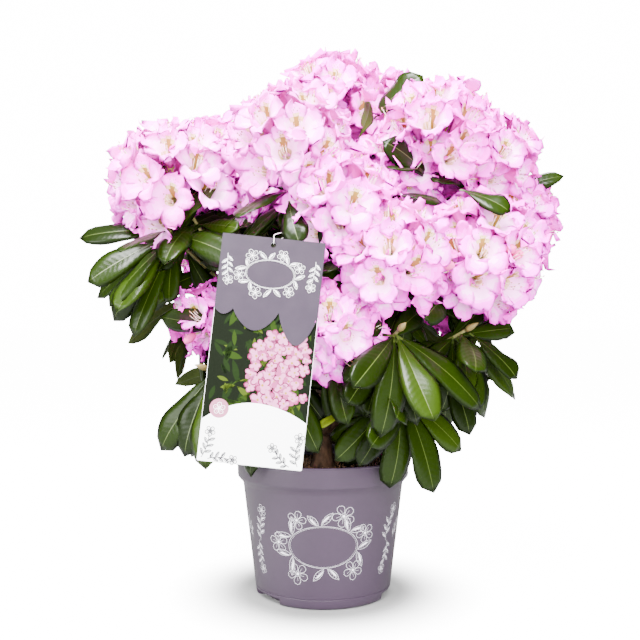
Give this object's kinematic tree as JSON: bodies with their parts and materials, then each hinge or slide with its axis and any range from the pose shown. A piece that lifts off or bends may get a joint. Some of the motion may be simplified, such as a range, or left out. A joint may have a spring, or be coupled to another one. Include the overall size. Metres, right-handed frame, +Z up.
{
  "type": "potted rhododendron",
  "caption": "Compact rounded rhododendron shrub in full pale pink bloom, standing in a round plastic nursery pot with a hang tag on a string.",
  "frame": {"origin": "centre of the pot's flat underside, on the ground", "axes": "+Z up along the pot's axis, -Y to the front where the label hangs, +X to the right seen from the front"},
  "size_m": [0.6223, 0.5211, 0.7152],
  "materials": {
    "pot": "satin",
    "soil": "rough",
    "bark": "rough",
    "foliage": "satin",
    "label_card": "satin",
    "label_flap": "matte",
    "string": "matte"
  },
  "bodies": {
    "root": {"pot": "pot", "soil": "soil", "trunk": "bark", "bough_low_left": "bark", "bough_low_back": "bark", "bough_low_front": "bark", "bough_low_right": "bark", "bough_back": "bark", "bough_right": "bark", "bough_left": "bark", "bough_back_right": "bark", "bough_front": "bark", "bough_upper_left": "bark", "bough_upper_right": "bark", "bough_top": "bark", "foliage_low_left": "foliage", "foliage_low_back": "foliage", "foliage_low_front": "foliage", "foliage_low_right": "foliage", "foliage_back": "foliage", "foliage_right": "foliage", "foliage_left": "foliage", "foliage_back_right": "foliage", "foliage_front": "foliage", "foliage_upper_left": "foliage", "foliage_upper_right": "foliage", "foliage_top": "foliage", "label_card": "label_card", "label_flap": "label_flap", "label_string": "string"}
  },
  "joints": []
}
